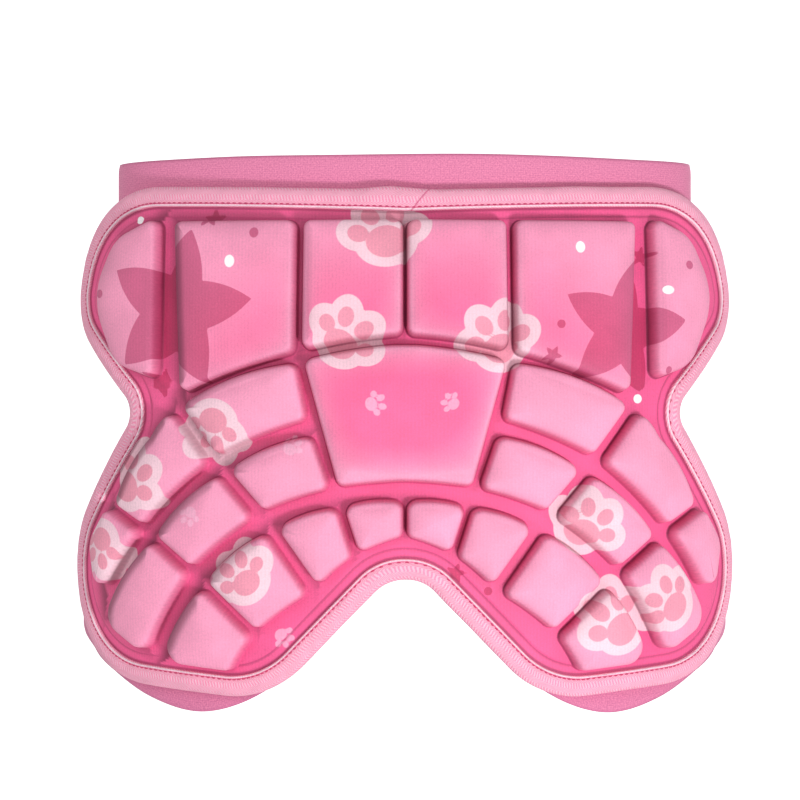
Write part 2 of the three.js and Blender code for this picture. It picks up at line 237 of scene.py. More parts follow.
def distance_to_rim(flat):
    """Distance of points of the flat pattern from the tape's outer edge."""
    start = rim[::2]
    along = np.roll(start, -1, axis=0) - start
    length_squared = (along**2).sum(axis=1)
    result = np.empty(len(flat))
    for first in range(0, len(flat), POINTS_AT_ONCE):
        part = flat[first : first + POINTS_AT_ONCE, None, :] - start
        share = np.clip((part * along).sum(axis=2) / length_squared, 0, 1)
        away = part - share[:, :, None] * along
        result[first : first + POINTS_AT_ONCE] = np.sqrt((away**2).sum(axis=2).min(axis=1))
    return result


def floor_height(flat):
    """Height of the panel's outer face above its middle surface, with the step at the rim."""
    step = np.array(RIM_STEP)
    return HALF_PANEL - np.interp(distance_to_rim(flat) - TAPE_FACE, step[:, 0], step[:, 1])


def ripple(flat, depth, length, seed):
    """Smooth noise over the flat pattern, with bumps of about that depth and length."""
    return depth * np.array([noise.noise((x / length, y / length, seed)) for x, y in flat])


def round_noise(places, total, length, seed):
    """Smooth noise along a closed line, with bumps of about that length."""
    radius = total / (2 * math.pi * length)
    turns = 2 * math.pi * places / total
    return np.array([noise.noise((radius * math.cos(t), radius * math.sin(t), seed)) for t in turns])


def new_piece(name, points, faces):
    mesh = bpy.data.meshes.new(name)
    mesh.from_pydata(points.tolist(), [], faces)
    mesh.shade_smooth()
    piece = bpy.data.objects.new(name, mesh)
    bpy.context.scene.collection.objects.link(piece)
    return piece


def mesh_from_rings(name, rings, closed_round=False):
    """A piece whose rings of points are joined by faces. A ring of one point is a pole."""
    starts = np.cumsum([0] + [len(ring) for ring in rings]).tolist()
    faces = []
    for here in range(len(rings) if closed_round else len(rings) - 1):
        there = (here + 1) % len(rings)
        near, far = len(rings[here]), len(rings[there])
        first, second = starts[here], starts[there]
        for k in range(max(near, far)):
            m = (k + 1) % max(near, far)
            face = (first + k % near, first + m % near, second + m % far, second + k % far)
            faces.append(tuple(dict.fromkeys(face)))
    return new_piece(name, np.vstack(rings), faces)


def store(piece, name, values):
    """Keeps a number or a vector for each vertex of the piece, for its material to read."""
    values = np.asarray(values, np.float32)
    kind = "FLOAT" if values.ndim == 1 else "FLOAT_VECTOR"
    attribute = piece.data.attributes.new(name, kind, "POINT")
    attribute.data.foreach_set("value" if values.ndim == 1 else "vector", values.ravel())


# The print. Big stars and paws lie across the blocks, small ones and dots between them.
# Columns: across; down; reach of an arm; half width of an arm; turn in degrees.
STARS = [
    [-114, 58, 40.5, 13.0, 12],
    [109, 68, 35, 11.2, 10],
    [-97, 12, 6.4, 1.7, 0],
    [123.5, 30, 6.0, 1.4, 10],
    [-127, 94, 8.4, 2.4, 20],
    [71, 81, 5.0, 1.3, 30],
    [25, 188, 5.4, 1.5, 15],
]
# How an arm narrows, as a power of the share of its reach, and how far behind the middle it
# starts, as a share of its half width.
STAR_TAPER = 2.7
STAR_ROOT = 0.6

# Columns: across; down; half width; half height.
DARK_DOTS = [
    [-73, 21, 2.3, 2.6],
    [-162, 49, 2.6, 2.2],
    [147, 35, 2.4, 2.2],
    [75, 66, 2.1, 2.1],
    [134, 88, 1.9, 1.9],
    [41, 197, 2.1, 2.1],
]
WHITE_DOTS = [
    [-143, 10.5, 2.3, 2.0],
    [-85, 35, 2.5, 3.1],
    [85, 28, 2.4, 2.9],
    [133.5, 48, 3.2, 2.2],
    [121, 102, 2.5, 2.3],
    [-16, 188, 1.3, 1.5],
]

# Columns: across; down; radius of the pad; turn in degrees, 0 with the toes up.
BIG_PAWS = [
    [-9, 26, 8.6, -8],
    [-31, 76, 7.4, 36],
    [46, 78, 7.6, -15],
    [-93, 113, 6.6, 196],
    [-143, 146, 7.8, 38],
    [-159, 173, 6.2, 200],
    [-76, 192, 6.4, -38],
    [87, 168, 7.0, 30],
    [107, 216, 8.2, -30],
    [137, 206, 7.0, -50],
]
SMALL_PAWS = [
    [-105, 158, 2.9, 200],
    [-55, 127, 2.9, 30],
    [-62, 219, 3.0, 130],
    [-16, 105, 3.0, 80],
    [23, 105, 2.6, -60],
]
# The pale border round a big paw.
PAW_BORDER = 4.6
# Half width and half height of a paw's pad, as shares of its radius.
PAD_FORM = (1.12, 0.92)
# A paw's toes. Columns: turn from the paw's own direction, in degrees; distance from the
# middle of the pad, half width and half length, as shares of the pad's radius.
PAW_TOES = [
    [-66, 1.62, 0.5, 0.6],
    [-23, 1.82, 0.52, 0.68],
    [23, 1.82, 0.52, 0.68],
    [66, 1.62, 0.5, 0.6],
]


def outside_ellipse(flat, across, down, half_width, half_height, turn=0.0):
    """How far points lie outside an ellipse in the flat pattern, negative within it."""
    c, s = math.cos(math.radians(turn)), math.sin(math.radians(turn))
    x = c * (flat[:, 0] - across) + s * (flat[:, 1] - down)
    y = -s * (flat[:, 0] - across) + c * (flat[:, 1] - down)
    share = np.sqrt((x / half_width) ** 2 + (y / half_height) ** 2)
    return (share - 1) * min(half_width, half_height)


def ray(turn, reach):
    """The step of that length in the direction of a turn, measured clockwise from straight up."""
    angle = math.radians(turn)
    return reach * math.sin(angle), -reach * math.cos(angle)


def outside_star(flat, across, down, reach, half_width, turn):
    """How far points lie outside a star with five arms that narrow to blunt tips."""
    result = np.full(len(flat), np.inf)
    for arm in range(5):
        ahead = np.array(ray(turn + 72 * arm, 1.0))
        along = (flat - (across, down)) @ ahead
        aside = np.abs((flat - (across, down)) @ np.array([-ahead[1], ahead[0]]))
        width = half_width * (1 - np.clip(along / reach, 0, 1) ** STAR_TAPER)
        arm_gap = np.maximum(aside - width, np.maximum(along - reach, -along - STAR_ROOT * half_width))
        result = np.minimum(result, arm_gap)
    return result


def outside_paw(flat, across, down, radius, turn):
    result = outside_ellipse(flat, across, down, PAD_FORM[0] * radius, PAD_FORM[1] * radius, turn)
    for toe_turn, distance, half_width, half_length in PAW_TOES:
        x, y = ray(turn + toe_turn, distance * radius)
        sizes = half_width * radius, half_length * radius
        toe = outside_ellipse(flat, across + x, down + y, *sizes, turn + toe_turn)
        result = np.minimum(result, toe)
    return result


def nearest(shapes):
    return np.min(np.stack(shapes), axis=0)


def store_print(piece, flat, unprinted):
    """Keeps how far each vertex lies outside the print's stars and paws, in millimetres.

    The first vertices, as many as are unprinted, lie on the plain lining or out of sight."""
    paws = nearest([outside_paw(flat, *row) for row in BIG_PAWS])
    figures = {
        "paw_ring": paws - PAW_BORDER,
        "paw_pad": paws,
        "small_paw": nearest([outside_paw(flat, *row) for row in SMALL_PAWS]),
        "star": nearest([outside_star(flat, *row) for row in STARS]),
    }
    for name, away in figures.items():
        away[:unprinted] = PANEL_FAR
        store(piece, name, away)
    layer = np.where(np.arange(len(flat)) < unprinted, PANEL_FAR, 0)
    store(piece, "pattern", np.column_stack([flat, layer]))


def paint(red, green, blue):
    """A colour given as a screen shows it, from 0 to 255, as Blender's linear colour."""
    shares = [c / 255 for c in (red, green, blue)]
    return (*[s / 12.92 if s <= 0.04045 else ((s + 0.055) / 1.055) ** 2.4 for s in shares], 1.0)


CHANNEL_PINK = paint(239, 90, 146)
BLOCK_PINK = paint(248, 157, 191)
HOT_PINK = paint(248, 94, 149)
# Plum of the painted shade: lines at the blocks' feet, shadows over channels, sides and beside the tape.
PAINTED_SHADE_PLUM = paint(96, 16, 52)
STAR_TINT = paint(214, 160, 184)
DOT_WHITE = paint(255, 250, 252)
# The inks of the paws, in the order of printing. Columns: figure; share that covers; colour.
PAW_INKS = [
    ["paw_ring", 0.78, paint(247, 217, 226)],
    ["paw_pad", 0.85, paint(235, 138, 163)],
    ["small_paw", 0.6, paint(255, 190, 218)],
]
# How far ink spreads in the knit, and the width of one column of its stitches.
INK_EDGE = 0.28
WALE_WIDTH = 1.7
# What every material here has in common.
CLOTH_SPECULAR = 0.32
SHEEN_ROUGHNESS = 0.4
SHEEN_TINT = paint(255, 196, 220)


def feed(node, sources):
    """Links a node's inputs, given by name or place, to sockets, or sets their values."""
    for place, source in sources.items():
        if isinstance(source, bpy.types.NodeSocket):
            node.id_data.links.new(source, node.inputs[place])
        else:
            node.inputs[place].default_value = source


def new_node(kind, sources, **settings):
    """A node in the tree that its sources belong to, set up and fed."""
    tree = next(s.id_data for s in sources.values() if isinstance(s, bpy.types.NodeSocket))
    node = tree.nodes.new(kind)
    for setting, value in settings.items():
        setattr(node, setting, value)
    feed(node, sources)
    return node


def new_finish(name, roughness, sheen):
    """A material with its tree and its shader, ready for nodes."""
    finish = bpy.data.materials.new(name)
    finish.use_nodes = True
    shader = finish.node_tree.nodes["Principled BSDF"]
    feed(shader, {"Roughness": roughness, "Specular IOR Level": CLOTH_SPECULAR})
    feed(shader, {"Sheen Weight": sheen, "Sheen Roughness": SHEEN_ROUGHNESS, "Sheen Tint": SHEEN_TINT})
    return finish, finish.node_tree, shader


def stored(tree, name, part="Fac"):
    """What the piece keeps under a name for each vertex."""
    reader = tree.nodes.new("ShaderNodeAttribute")
    reader.attribute_name = name
    return reader.outputs[part]


def worked(operation, *values):
    return new_node("ShaderNodeMath", dict(enumerate(values)), operation=operation).outputs[0]


def wave(value, length):
    """A sine wave of that length along a value."""
    return worked("SINE", worked("MULTIPLY", value, 2 * math.pi / length))


def ramped(value, low, high, from_low=0.0, from_high=1.0, smooth=True):
    sources = dict(enumerate((value, from_low, from_high, low, high)))
    shape = "SMOOTHSTEP" if smooth else "LINEAR"
    return new_node("ShaderNodeMapRange", sources, interpolation_type=shape).outputs[0]


def dyed(share, below, above, blend="MIX"):
    """One colour laid over another, to a share."""
    sources = {0: share, 6: below, 7: above}
    return new_node("ShaderNodeMix", sources, data_type="RGBA", blend_type=blend).outputs[2]


def grain(vector, scale, detail=2.0, roughness=0.55):
    sources = {"Vector": vector, "Scale": scale, "Detail": detail, "Roughness": roughness}
    return new_node("ShaderNodeTexNoise", sources).outputs[0]


def bump(height, strength, distance):
    sources = {"Height": height, "Strength": strength, "Distance": distance}
    return new_node("ShaderNodeBump", sources).outputs[0]


def split(vector):
    return new_node("ShaderNodeSeparateXYZ", {0: vector}).outputs


def figure(tree, name):
    """1 within a figure of the print and 0 outside, with an edge as soft as ink in a knit."""
    return ramped(stored(tree, name), 1.0, 0.0, -INK_EDGE, INK_EDGE)


def spots(place, table):
    """1 within any of the small ellipses of a table and 0 outside."""
    nearest_one = PANEL_FAR
    for across, down, half_width, half_height in table:
        sources = {
            0: place,
            1: (1 / half_width, 1 / half_height, 1),
            2: (-across / half_width, -down / half_height, 0),
        }
        scaled = new_node("ShaderNodeVectorMath", sources, operation="MULTIPLY_ADD").outputs[0]
        away = new_node("ShaderNodeVectorMath", {0: scaled}, operation="LENGTH").outputs["Value"]
        nearest_one = worked("MINIMUM", away, nearest_one)
    return ramped(nearest_one, 1.0, 0.0, 0.88, 1.1)


def printed_knit(name):
    """Stretch knit with its print, hot pink in the channels and lighter on the blocks' tops, under painted
    shade.
    """
    finish, tree, shader = new_finish(name, 0.58, 0.12)
    place = stored(tree, "pattern", "Vector")
    ground = dyed(stored(tree, "lift"), CHANNEL_PINK, BLOCK_PINK)
    ground = dyed(stored(tree, "hot"), ground, HOT_PINK)
    stars = worked("MAXIMUM", figure(tree, "star"), spots(place, DARK_DOTS))
    ground = dyed(stars, ground, STAR_TINT, "MULTIPLY")
    for shape, cover, ink in PAW_INKS:
        ground = dyed(worked("MULTIPLY", figure(tree, shape), cover), ground, ink)
    # Painted shade in plum, where the blocks and the tape would shade the knit.
    ground = dyed(stored(tree, "painted_shade"), ground, PAINTED_SHADE_PLUM)
    ground = dyed(spots(place, WHITE_DOTS), ground, DOT_WHITE)
    cloudy = ramped(grain(place, 0.035), 0.93, 1.05, 0.3, 0.7)
    wales = ramped(wave(split(place)[0], WALE_WIDTH), 0.97, 1.02, -1.0, 1.0, False)
    speckled = ramped(grain(place, 0.95, 4.0, 0.85), 0.8, 1.2, 0.2, 0.8, False)
    tint = worked("MULTIPLY", worked("MULTIPLY", cloudy, wales), speckled)
    knit = worked("ADD", grain(place, 2.6, 2.0, 0.6), grain(place, 0.6, 2.0, 0.5))
    feed(shader, {"Base Color": dyed(1.0, ground, tint, "MULTIPLY"), "Normal": bump(knit, 0.35, 0.00025)})
    return finish


panel_rings = [moved_out(rim, -inset) for inset in (*UNDER_TAPE, *BESIDE_TAPE)]
inner_ring = moved_out(rim, -INNER_INSET)
panel_rings += [PANEL_MIDDLE + (inner_ring - PANEL_MIDDLE) * share for share in INNER_SHARES]
panel_flat = np.vstack(panel_rings + [[PANEL_MIDDLE]])
panel_height = floor_height(panel_flat) + ripple(panel_flat, *PANEL_RIPPLE)
ring_ends = len(rim) * np.arange(1, len(panel_rings) + 1)
front_rings = np.split(on_panel(panel_flat, panel_height), ring_ends)
back_flat = [np.array([PANEL_MIDDLE])] + [panel_rings[k] for k in BACK_RINGS]
back_rings = [on_panel(ring, -HALF_PANEL) for ring in back_flat]
panel = mesh_from_rings("moulded_panel", back_rings + front_rings)
panel_all = np.vstack(back_flat + [panel_flat])
lining = len(panel_all) - len(panel_flat)
store_print(panel, panel_all, lining)
store(panel, "lift", np.where(np.arange(len(panel_all)) < lining, LINING_LIFT, 0))
store(panel, "hot", np.zeros(len(panel_all)))
rim_gap = distance_to_rim(panel_all) - TAPE_FACE
# Painted shade on the panel, along the step and under the tape's inner edge.
rim_painted_shadow = sum(dark * np.exp(-(((rim_gap - place) / width) ** 2)) for dark, place, width in RIM_PAINTED_SHADOWS)
panel.data.materials.append(printed_knit("printed knit of the panel"))
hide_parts("base_panel")
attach(panel, "root")


# Foam blocks
# Twenty-seven raised blocks are moulded in one go with the panel. The knit runs down their
# walls into the channels, and their tops stay puffed. Shade is painted on the knit: dark lines
# at the blocks' feet, shadows over the channels and broad shadows on sides that face left.
BLOCK_HEIGHT = 8.6
BLOCK_CROWN = 1.6
BLOCK_CORNER = 3.4
# The rows of blocks are arcs, so the upper side of a block bows out and its lower side bows
# in, by a share of its length, but for a margin at both ends.
UPPER_BOW = 0.05
LOWER_BOW = -0.02
BOW_MARGIN = 0.05
# The centre block, clockwise from the middle of its upper side: how much rounder its corners
# are than others, and how its sides bow.
CENTRE_ROUNDING = [14, 1, 1, 14, 1, 1]
CENTRE_BOWS = [0.02, 0.0, -0.01, -0.01, 0.0, 0.02]

# Where the channels cross, right half. The letter is the row, from the top edge down, and
# the digit the line across, from the middle outwards. R are corners at the rim.
# Columns: across, as a share of the half width; down, as a share of the height.
CROSSINGS = {
    "A0": [0, 0.042],
    "A1": [0.257, 0.042],
    "A3": [0.61, 0.038],
    "B0": [0, 0.292],
    "B1": [0.26, 0.324],
    "B3": [0.588, 0.416],
    "B5": [0.652, 0.472],
    "B4": [0.785, 0.624],
    "C1": [0.225, 0.462],
    "C3": [0.467, 0.538],
    "C4": [0.664, 0.676],
    "C5": [0.825, 0.848],
    "D0": [0, 0.588],
    "D1": [0.165, 0.6],
    "D3": [0.344, 0.648],
    "D4": [0.524, 0.76],
    "D5": [0.65, 0.93],
    "E0": [0, 0.684],
    "E1": [0.117, 0.72],
    "E3": [0.218, 0.79],
    "E4": [0.366, 0.876],
    "E5": [0.42, 0.946],
    "N3": [0.615, 0.372],
    "R1": [0.775, 0.088],
    "R2": [0.856, 0.2],
    "R8": [0.772, 0.334],
    "R7": [0.858, 0.7],
}
CHANNEL_WIDTHS = {"A": 9, "B": 6.5, "C": 10, "D": 11.5, "E": 6, "0": 4, "1": 5.5, "3": 8.5, "4": 7}
# The wider channel between the middle and outer blocks of the top row.
TOP_CHANNEL_WIDTH = 11.5
TOP_ROW_SIDES = [{"A3", "B3"}, {"A3", "N3"}]
# The room between the rim and the outer blocks of the top row, on the right and on the left.
RIM_MARGIN = {1: 3.6, -1: 1.4}
# How much rounder the corners at the rim are than a block's other corners.
RIM_ROUNDING = {"R1": 6.6, "R2": 9.0, "R8": 6.0, "R7": 4.2, "C5": 2.6, "D5": 2.2, "B5": 3}
# The crossings at a block's corners, clockwise.
SIDE_BLOCKS = {
    "top_inner": "A0 A1 B1 B0",
    "top_middle": "A1 A3 B3 B1",
    "top_outer": "A3 R1 R2 R8 N3",
    "upper_inner": "B1 B3 C3 C1",
    "upper_outer": "B3 B5 B4 C4 C3",
    "upper_rim": "B4 R7 C5 C4",
    "lower_inner": "C1 C3 D3 D1",
    "lower_middle": "C3 C4 D4 D3",
    "lower_rim": "C4 C5 D5 D4",
    "edge_inner": "D0 D1 E1 E0",
    "edge_middle": "D1 D3 E3 E1",
    "edge_outer": "D3 D4 E4 E3",
    "edge_rim": "D4 D5 E5 E4",
}

# A block's side from the panel up to its top. Columns: distance out from the wall's top;
# height, as a share of the block's height; how dark the painted shade is; how far the print has
# paled from the channel's pink to the top's.
BLOCK_SIDE = [
    [2.9, -0.05, 0.05, 0.0],
    [2.45, -0.014, 0.2, 0.0],
    [2.1, 0.006, 0.5, 0.0],
    [1.8, 0.03, 0.9, 0.04],
    [1.55, 0.075, 1.0, 0.1],
    [1.34, 0.14, 0.85, 0.18],
    [1.17, 0.23, 0.6, 0.28],
    [1.02, 0.34, 0.46, 0.38],
    [0.86, 0.46, 0.38, 0.48],
    [0.68, 0.58, 0.32, 0.58],
    [0.48, 0.69, 0.28, 0.68],
    [0.22, 0.79, 0.25, 0.78],
    [-0.1, 0.87, 0.24, 0.86],
    [-0.55, 0.93, 0.23, 0.92],
    [-1.15, 0.97, 0.22, 0.96],
    [-1.9, 0.991, 0.2, 0.98],
    [-2.8, 1.0, 0.19, 1.0],
]
# Shade is painted darkest along the upper and left sides of a block, which face away from
# the light. The way that such a side faces; how the shade fades on others; the painted shade
# there, and on the other sides, and what the top row adds on those.
SHADED_SIDE = (-0.85, -0.53)
SIDE_SHADE_FADING = 1.2
SHADED_SIDE_DARKNESS = 0.94
LIT_SIDE_DARKNESS = 0.08
TOP_ROW_LIT_SIDE_SHADE = 0.48
TOP_ROW_LOWEST = 100.0
# A painted shadow spreads over a channel's floor beside each block, the further to the left the
# more: how dark, where it starts to fade, and its least reach and what the left adds.
CHANNEL_SHADOW_DARKNESS = 0.88
CHANNEL_START = 0.8
CHANNEL_REACH = (2.6, 2.8)
LEFTWARD_REACH = 220.0
LEAST_LEFTNESS = 0.15
# How far the painted shade reaches in over a block's top, and the painted shadow up its side.
EDGE_SHADE_REACH = 6.0
CHANNEL_SHADOW_RISE = 1.5

# Sides that face left bear a broad painted shadow, the more so the further left they lie.
SHADOW_BAND_SIDE = (-0.94, -0.34)
PAINTED_SHADOW_BAND = 0.82
SHADOW_BAND_REACH = (1.5, 4.2)
SHADOW_BAND_FOOT = 1.6
SHADOW_BAND_FROM = 110.0
NO_SHADOW_BAND = ("top_outer", "upper_rim")
# The top row and the centre block are printed hotter towards one middle, less so at a block's
# edges, by a multiple and a power of its puff.
HOT_BLOCKS = ("top", "centre")
HOT_MIDDLE = (4.0, 98.0)
HOT_REACH = (118.0, 72.0)
HOT_SHARE = 0.9
HOT_BY_PUFF = (1.12, 0.5)
# A block's crown: where it starts inside the sides, how far it takes, and its most.
CROWN_START = 1.5
CROWN_REACH = 7.5
PUFF_MOST = 1.05
# Depth and length of the fabric's small puckers, and a seed.
BLOCK_RIPPLE = (0.09, 6.0, 11.0)
# Up to this share of its height a side follows the panel's floor.
FOLLOWS_FLOOR = 0.6
# A block's hidden underside: its size, as a share of the foot's, and its depth.
UNDER_SHARE = 0.5
UNDER_DEPTH = 0.45
OUTLINE_POINTS = 900
BLOCK_SPACING = 1.1
block_knit = printed_knit("printed knit of the blocks")


def crossing(name):
    across, down = CROSSINGS[name]
    return np.array([across * PAD_HALF_WIDTH, down * PAD_HEIGHT])


def half_channel(start, end, side=1):
    if {start, end} in TOP_ROW_SIDES:
        return TOP_CHANNEL_WIDTH / 2
    if start[0] == "R" and end[0] == "R":
        return RIM_MARGIN[side]
    if start[0] == end[0] and start[0] in CHANNEL_WIDTHS:
        return CHANNEL_WIDTHS[start[0]] / 2
    if start[1] == end[1] and start[1] in CHANNEL_WIDTHS:
        return CHANNEL_WIDTHS[start[1]] / 2
    return 0.0


def inset_corners(corners, insets):
    """Corners moved in by half a channel on each side."""
    moved = []
    for index, corner in enumerate(corners):
        along_in = corner - corners[index - 1]
        along_out = corners[(index + 1) % len(corners)] - corner
        along_in = along_in / np.linalg.norm(along_in)
        along_out = along_out / np.linalg.norm(along_out)
        start_in = corner + np.array([-along_in[1], along_in[0]]) * insets[index - 1]
        start_out = corner + np.array([-along_out[1], along_out[0]]) * insets[index]
        between = start_out - start_in
        cross = along_in[0] * along_out[1] - along_in[1] * along_out[0]
        reach = (between[0] * along_out[1] - between[1] * along_out[0]) / cross
        moved.append(start_in + along_in * reach)
    return moved


def side_bow(start, end):
    """How far the side between two crossings bows out, as a share of its length."""
    if start[0] != end[0] or start[0] not in "BCDE":
        return 0.0
    return UPPER_BOW if CROSSINGS[end][0] > CROSSINGS[start][0] else LOWER_BOW


def side_block(names, side):
    """Corners, corner radii and side bows of a block in the right or left half."""
    following = names[1:] + names[:1]
    insets = [half_channel(start, end, side) for start, end in zip(names, following)]
    corners = inset_corners([crossing(name) for name in names], insets)
    radii = [BLOCK_CORNER * RIM_ROUNDING.get(name, 1) for name in names]
    bows = [side_bow(start, end) for start, end in zip(names, following)]
    if side < 0:
        corners = [corner * [-1, 1] for corner in corners[::-1]]
        radii = radii[::-1]
        bows = bows[-2::-1] + bows[-1:]
    return corners, radii, bows


def centre_block():
    top, top_side, low_side, low = [crossing(name) for name in ("B0", "B1", "D1", "D0")]
    corners = [top, top_side, low_side, low, low_side * [-1, 1], top_side * [-1, 1]]
    row, line, lower = [CHANNEL_WIDTHS[name] / 2 for name in ("B", "1", "D")]
    corners = inset_corners(corners, [row, line, lower, lower, line, row])
    radii = [BLOCK_CORNER * share for share in CENTRE_ROUNDING]
    return corners, radii, CENTRE_BOWS


def sides_of(corners):
    """For each side of a block its start, its direction, its length and its outward direction."""
    for index, corner in enumerate(corners):
        along = corners[(index + 1) % len(corners)] - corner
        length = np.linalg.norm(along)
        along = along / length
        yield corner, along, length, np.array([along[1], -along[0]])


def bowed(path, corners, bows):
    """The outline with its sides bowed, each point with the side that it lies nearest to."""
    gaps = np.stack([np.abs((path - corner) @ out) for corner, _, _, out in sides_of(corners)])
    for index, (corner, along, length, out) in enumerate(sides_of(corners)):
        share = np.clip(((path - corner) @ along / length - BOW_MARGIN) / (1 - 2 * BOW_MARGIN), 0, 1)
        bow = 4 * share * (1 - share) * bows[index] * length
        path = path + np.outer(bow * (gaps.argmin(axis=0) == index), out)
    return path


def crown_share(flat, corners):
    """How fully the top is puffed: 0 along every side of the block and 1 in its middle."""
    points = np.vstack([flat, np.mean(corners, axis=0)[None, :]])
    share = np.ones(len(points))
    for corner, _, _, out in sides_of(corners):
        inside = (points - corner) @ -out
        share *= 1 - np.exp(-np.clip(inside - CROWN_START, 0, None) / CROWN_REACH)
    return share[:-1] / share[-1]


def shaded_side_share(outward):
    """How much shade is painted on sides that face these ways, from 0 to 1."""
    return np.clip(0.5 + 0.5 * (outward @ np.array(SHADED_SIDE)), 0, 1) ** SIDE_SHADE_FADING


def channel_painted_shadow(flat):
    """The painted shadow that spreads over the channels' floor above and beside each block."""
    painted_shade = np.zeros(len(flat))
    leftness = np.clip(0.5 - flat[:, 0] / LEFTWARD_REACH, LEAST_LEFTNESS, 1)
    reach = CHANNEL_REACH[0] + CHANNEL_REACH[1] * leftness
    for corners, _, _ in blocks.values():
        outside = np.stack([(flat - corner) @ out for corner, _, _, out in sides_of(corners)])
        side_shade = np.array([shaded_side_share(out) for _, _, _, out in sides_of(corners)])
        away = outside.max(axis=0)
        faded = np.exp(-((np.clip(away - CHANNEL_START, 0, None) / reach) ** 2))
        spread = leftness * faded * (away > 0)
        painted_shade = np.maximum(painted_shade, CHANNEL_SHADOW_DARKNESS * spread * side_shade[outside.argmax(axis=0)])
    return painted_shade


def path_length(path):
    return np.linalg.norm(np.roll(path, -1, axis=0) - path, axis=1).sum()


def block_rows(path, side_shade, dark, dark_reach):
    """Rows from a block's foot to its middle: points, height, painted shade, how far the print paled."""
    middle = path.mean(axis=0)
    rows = []
    for out, share, painted_shade, pale in BLOCK_SIDE:
        # A broad painted shadow on sides that face left, fading in over the top.
        band = dark * np.exp(-((max(0, -out) / dark_reach) ** 3)) * (out < SHADOW_BAND_FOOT)
        rows.append((moved_out(path, out), share * BLOCK_HEIGHT, np.maximum(painted_shade * side_shade, band), pale))
    top = rows[-1][0]
    last_out, _, last_painted_shade, _ = BLOCK_SIDE[-1]
    radius = np.linalg.norm(top - middle, axis=1).mean()
    steps = max(6, int(radius / BLOCK_SPACING))
    for k in range(1, steps):
        inside = radius * k / steps
        band = dark * np.exp(-(((inside - last_out) / dark_reach) ** 3))
        fading = last_painted_shade * side_shade * math.exp(-inside / EDGE_SHADE_REACH)
        points = middle + (top - middle) * (1 - k / steps)
        rows.append((points, BLOCK_HEIGHT, np.maximum(fading, band), 1.0))
    rows.append((middle[None, :], BLOCK_HEIGHT, np.zeros(1), 1.0))
    return rows


def add_block(name, corners, radii, bows):
    path = even_path(rounded_path(corners, radii, True), OUTLINE_POINTS, True)
    path = bowed(path, corners, bows)
    path = even_path(path, int(path_length(path) / BLOCK_SPACING), True)
    middle = path.mean(axis=0)
    outward = moved_out(path, 1.0) - path
    # Painted shade, darkest on the upper and left sides, and a broad painted shadow on sides that face
    # left.
    lit_side_shade = LIT_SIDE_DARKNESS + TOP_ROW_LIT_SIDE_SHADE * (middle[1] < TOP_ROW_LOWEST)
    side_shade = lit_side_shade + (SHADED_SIDE_DARKNESS - lit_side_shade) * shaded_side_share(outward)
    facing = np.clip(outward @ np.array(SHADOW_BAND_SIDE), 0, 1)
    dark = PAINTED_SHADOW_BAND * facing * np.clip(-path[:, 0] / SHADOW_BAND_FROM, 0, 1)
    dark = dark * (not name.startswith(NO_SHADOW_BAND))
    rows = block_rows(path, side_shade, dark, SHADOW_BAND_REACH[0] + SHADOW_BAND_REACH[1] * facing)
    parts, heights, painted_shades, lifts = zip(*rows)
    counts = [len(part) for part in parts]
    flat, height = np.vstack(parts), np.repeat(heights, counts)
    puff = np.clip(crown_share(flat, corners), 0, PUFF_MOST)
    sunk = np.clip(1 - height / (FOLLOWS_FLOOR * BLOCK_HEIGHT), 0, 1)
    base = HALF_PANEL + (floor_height(flat) - HALF_PANEL) * sunk
    pucker = ripple(flat, *BLOCK_RIPPLE) * np.clip(height / BLOCK_HEIGHT, 0, 1)
    points = on_panel(flat, base + height + BLOCK_CROWN * puff + pucker)
    under = np.vstack([middle[None, :], middle + (parts[0] - middle) * UNDER_SHARE])
    under_points = on_panel(under, HALF_PANEL - UNDER_DEPTH)
    rings = [under_points[:1], under_points[1:]] + np.split(points, np.cumsum(counts)[:-1])
    block = mesh_from_rings(f"foam_{name}", rings)
    all_flat, hidden = np.vstack([under, flat]), np.zeros(len(under))
    away = (all_flat - HOT_MIDDLE) / HOT_REACH
    hot = HOT_SHARE * np.exp(-((away**2).sum(axis=1) ** 2)) * name.startswith(HOT_BLOCKS)
    by_puff = np.clip(HOT_BY_PUFF[0] * np.clip(puff, 0, 1) ** HOT_BY_PUFF[1], 0, 1)
    # The channels' painted shadow reaches a little way up the block's foot.
    floor_painted_shadow = channel_painted_shadow(flat) * np.clip(1 - height / CHANNEL_SHADOW_RISE, 0, 1)
    painted_shade = np.maximum(np.concatenate(painted_shades), floor_painted_shadow)
    store_print(block, all_flat, len(hidden))
    store(block, "lift", np.concatenate([hidden, np.repeat(lifts, counts)]))
    store(block, "hot", hot * np.concatenate([hidden, by_puff]))
    store(block, "painted_shade", np.concatenate([hidden, painted_shade]))
    block.data.materials.append(block_knit)
    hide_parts(f"block_{name}")
    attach(block, "root")


blocks = {"centre": centre_block()}
for block_name, block_crossings in SIDE_BLOCKS.items():
    blocks[f"{block_name}_right"] = side_block(block_crossings.split(), 1)
    blocks[f"{block_name}_left"] = side_block(block_crossings.split(), -1)
for block_name, block_form in blocks.items():
    add_block(block_name, *block_form)
# The panel's painted shade: lines beside the tape and shadows over the channels, none on the lining.
panel_painted_shade = np.maximum(rim_painted_shadow, channel_painted_shadow(panel_all))
panel_painted_shade[:lining] = 0
store(panel, "painted_shade", panel_painted_shade)


# Edge tape
# A woven herringbone tape is folded over the panel's edge and sewn through both faces in one
# go. Its inner edge is a pale cord, and its cut end laps over its start at the top middle.
TAPE_STATIONS = 1150
RIM_POINTS = 4000
